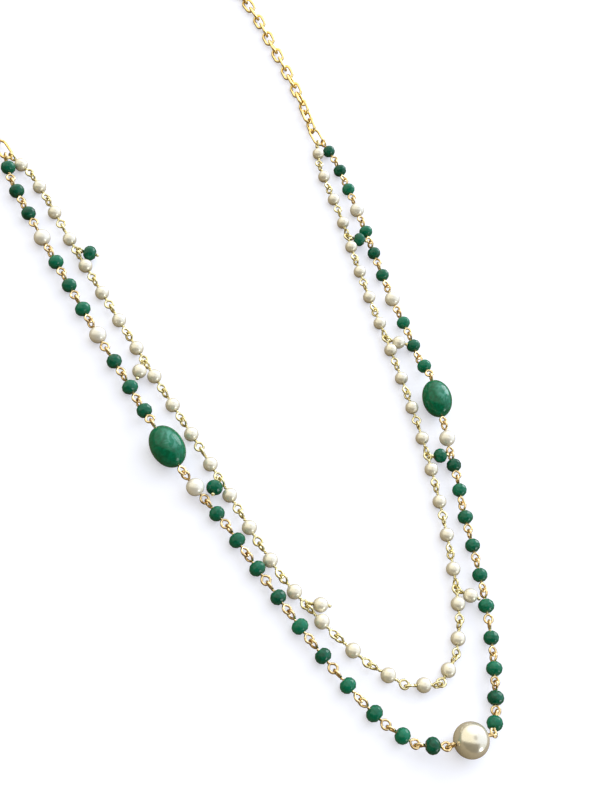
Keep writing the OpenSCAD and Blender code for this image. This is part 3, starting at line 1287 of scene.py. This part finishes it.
@dataclass
class ChainWork:
    """Cable chain, the long links that carry both strands, and the clasp."""

    finishes: Finishes
    link: Link = Link(5.78 * mm, 3.62 * mm, 0.44 * mm)
    end_link: Link = Link(7.12 * mm, 3.92 * mm, 0.36 * mm)

    def build(self) -> None:
        """Bends every link and finishes the clasp and its ring, whose shapes stay."""
        for side in Side:
            links = {f"chain_{side.value}": self.link, f"end_link_{side.value}": self.end_link}
            for node, link in links.items():
                spots = []
                for solid in solids(node):
                    along, normal = solid.axes()
                    spots.append(Spot(solid.middle, turn_to(along, normal)))
                register(self._bend(f"{node}_gold", link, spots), "chain_gold", node)
        for name in ("clasp_ring", "clasp"):
            for slot in frame["nodes"][name].material_slots:
                slot.material = self.finishes.bright
            log.info("%s keeps its shape in gold plate", name)

    def _bend(self, name: str, link: Link, spots: Sequence[Spot]) -> Object:
        """Bends links of one size.

        Args:
            name: The piece's name.
            link: The links' size.
            spots: Where they lie.

        Returns:
            The piece.
        """
        tree = GeometryTree(f"{name}_tree")
        wire = tree.input("Wire Radius", "Float", link.wire)
        bow = link.width / 2 - link.wire
        outline = tree.node(
            "GeometryNodeCurvePrimitiveQuadrilateral", {"mode": "RECTANGLE"},
            Width=tree.input("Middle Length", "Float", link.length - 2 * link.wire),
            Height=tree.input("Middle Width", "Float", 2 * bow),
        )
        bent = tree.node(
            "GeometryNodeFilletCurve", {"mode": "POLY"}, Curve=outline.outputs[0],
            Count=link.bow_points, Radius=tree.input("Bow Radius", "Float", bow * link.bow_share),
        )
        shape = tree.sweep(bent.outputs[0], wire, link.sides)
        return tree.grow(name, spots, [tree.place(shape, 0)], self.finishes.bright)


# Studio


@dataclass(frozen=True)
class Lamp:
    """A soft distant lamp: the way towards it, its width in degrees, strength and tint."""

    name: str
    way: tuple[float, float, float]
    spread: float
    strength: float
    tint: Colour

    def build(self) -> None:
        """Adds the lamp."""
        data = bpy.data.lights.new(self.name, "SUN")
        data.angle = math.radians(self.spread)
        data.energy = self.strength
        data.color = self.tint
        lamp = bpy.data.objects.new(self.name, data)
        lamp.rotation_euler = Vector(self.way).to_track_quat("Z", "Y").to_euler()
        bpy.context.scene.collection.objects.link(lamp)


@dataclass
class Studio:
    """Pale floor, wide screen behind the necklace, and camera at the photograph's angle.

    A way points from the necklace. Reaches and edges are in degrees, and the cosines
    are where the cool tint starts and where it is full.
    """

    eye: tuple[float, float, float] = (-0.11498, -0.15181, 0.20739)
    right: tuple[float, float, float] = (0.8759, -0.3486, 0.3337)
    up: tuple[float, float, float] = (0.1364, 0.8422, 0.5217)
    lens: float = 46.25
    clip: tuple[float, float] = (0.005, 40.0)
    floor_size: float = 8.0
    floor_glow: float = 0.46
    floor_tint: Colour = (0.92, 0.92, 1.0)
    paper: tuple[Colour, Colour] = ((0.59, 0.605, 0.64), (0.61, 0.625, 0.66))
    table: Colour = (0.28, 0.22, 0.135)
    screen_way: tuple[float, float, float] = (0.32, 0.83, 0.45)
    screen_reach: float = 96.0
    edge: float = 9.0
    screen: Colour = (1.24, 1.19, 1.02)
    cool_way: tuple[float, float, float] = (0.93, 0.0, 0.37)
    cool_cosines: tuple[float, float] = (-0.3, 0.9)
    cool_screen: Colour = (1.04, 1.12, 1.32)
    side_way: tuple[float, float, float] = (0.78, -0.60, 0.15)
    side_reach: float = 42.0
    side: Colour = (0.86, 0.90, 0.92)
    boom_reach: float = 11.0
    boom_edge: float = 5.0
    boom_shade: float = 0.6
    room: Colour = (0.125, 0.092, 0.042)
    lamps: tuple[Lamp, ...] = (
        Lamp("window", (0.85, 0.42, 0.40), 36.0, 1.4, (0.90, 0.95, 1.0)),
        Lamp("skylight", (0.15, 0.75, 0.65), 60.0, 0.4, (0.97, 0.95, 1.0)),
        Lamp("low_window", (0.40, -0.90, 0.18), 18.0, 0.35, (0.95, 0.98, 1.0)),
    )

    def build(self) -> None:
        """Makes the camera, the floor, the lamps and the room."""
        self._camera()
        self._floor()
        for lamp in self.lamps:
            lamp.build()
        self._room()
        bpy.context.scene.view_settings.view_transform = "Standard"

    def _camera(self) -> None:
        """Adds the camera at the photograph's place."""
        data = bpy.data.cameras.new("camera")
        data.lens = self.lens
        data.clip_start, data.clip_end = self.clip
        camera = bpy.data.objects.new("camera", data)
        right = Vector(self.right).normalized()
        up = Vector(self.up).normalized()
        turn = Matrix((right, up, right.cross(up))).transposed().to_4x4()
        camera.matrix_world = Matrix.Translation(self.eye) @ turn
        bpy.context.scene.collection.objects.link(camera)
        bpy.context.scene.camera = camera

    def _floor(self) -> None:
        """Adds the pale floor, which glows a little as a light table does.

        The pieces mirror it as a dim warm table, so that their edges stand
        out against it.
        """
        form = bmesh.new()
        bmesh.ops.create_grid(form, x_segments=1, y_segments=1, size=self.floor_size)
        floor = bpy.data.objects.new("floor", mesh_of("floor", form, smooth=False))
        shader = MaterialShader("pale_floor")
        grain = shader.noise(3 * mm, 3.0)
        shader.set(
            Base_Color=shader.blend(grain, *self.paper),
            Roughness=0.9, Specular_IOR_Level=0.1, Emission_Color=self.floor_tint,
            Emission_Strength=self.floor_glow,
        )
        mirrored = shader.node("ShaderNodeBsdfDiffuse", None, self.table)
        ray = shader.node("ShaderNodeLightPath")
        mix = shader.node(
            "ShaderNodeMixShader", None, ray.outputs["Is Camera Ray"], mirrored.outputs[0],
            shader.surface.outputs[0],
        )
        shader.feed(shader.tree.nodes["Material Output"].inputs["Surface"], mix.outputs[0])
        floor.data.materials.append(shader.material)
        bpy.context.scene.collection.objects.link(floor)

    def _room(self) -> None:
        """Adds the dim warm room and the wide screen behind the necklace."""
        world = bpy.data.worlds.new("room")
        world.use_nodes = True
        shader = Shader(world.node_tree)
        cool = shader.facing(self.cool_way).step(*self.cool_cosines)
        screen = shader.blend(cool, self.screen, self.cool_screen)
        seen = self._within(shader, self.screen_way, self.screen_reach, self.edge)
        side = self._within(shader, self.side_way, self.side_reach, self.edge)
        boom = self._within(shader, UP, self.boom_reach, self.boom_edge)
        light = shader.blend(
            seen - boom * self.boom_shade, shader.blend(side, self.room, self.side), screen
        )
        ray = shader.node("ShaderNodeLightPath")
        shown = shader.blend(ray.outputs["Is Camera Ray"], light, (1.0, 1.0, 1.0))
        shader.feed(world.node_tree.nodes["Background"].inputs["Color"], shown)
        bpy.context.scene.world = world

    @staticmethod
    def _within(shader: Shader, way: Sequence[float], reach: float, edge: float) -> Value:
        """Masks what lies within so many degrees of a way.

        Args:
            shader: The room's nodes.
            way: The middle of the masked part.
            reach: How far that part goes.
            edge: Half the width of its soft edge.

        Returns:
            1 inside, and 0 past the edge.
        """
        inner = math.cos(math.radians(reach - edge))
        outer = math.cos(math.radians(reach + edge))
        return shader.facing(way).step(outer, inner)


def main() -> None:
    """Builds the studio and the necklace."""
    logging.basicConfig(level=logging.INFO, format="%(name)s: %(message)s")
    Studio().build()
    finishes = Finishes()
    onyx_work = OnyxWork(finishes)
    PearlWork(finishes).build()
    onyx_work.build()
    CharmWork(finishes, onyx_work).build()
    ChainWork(finishes).build()


if __name__ == "__main__":
    main()
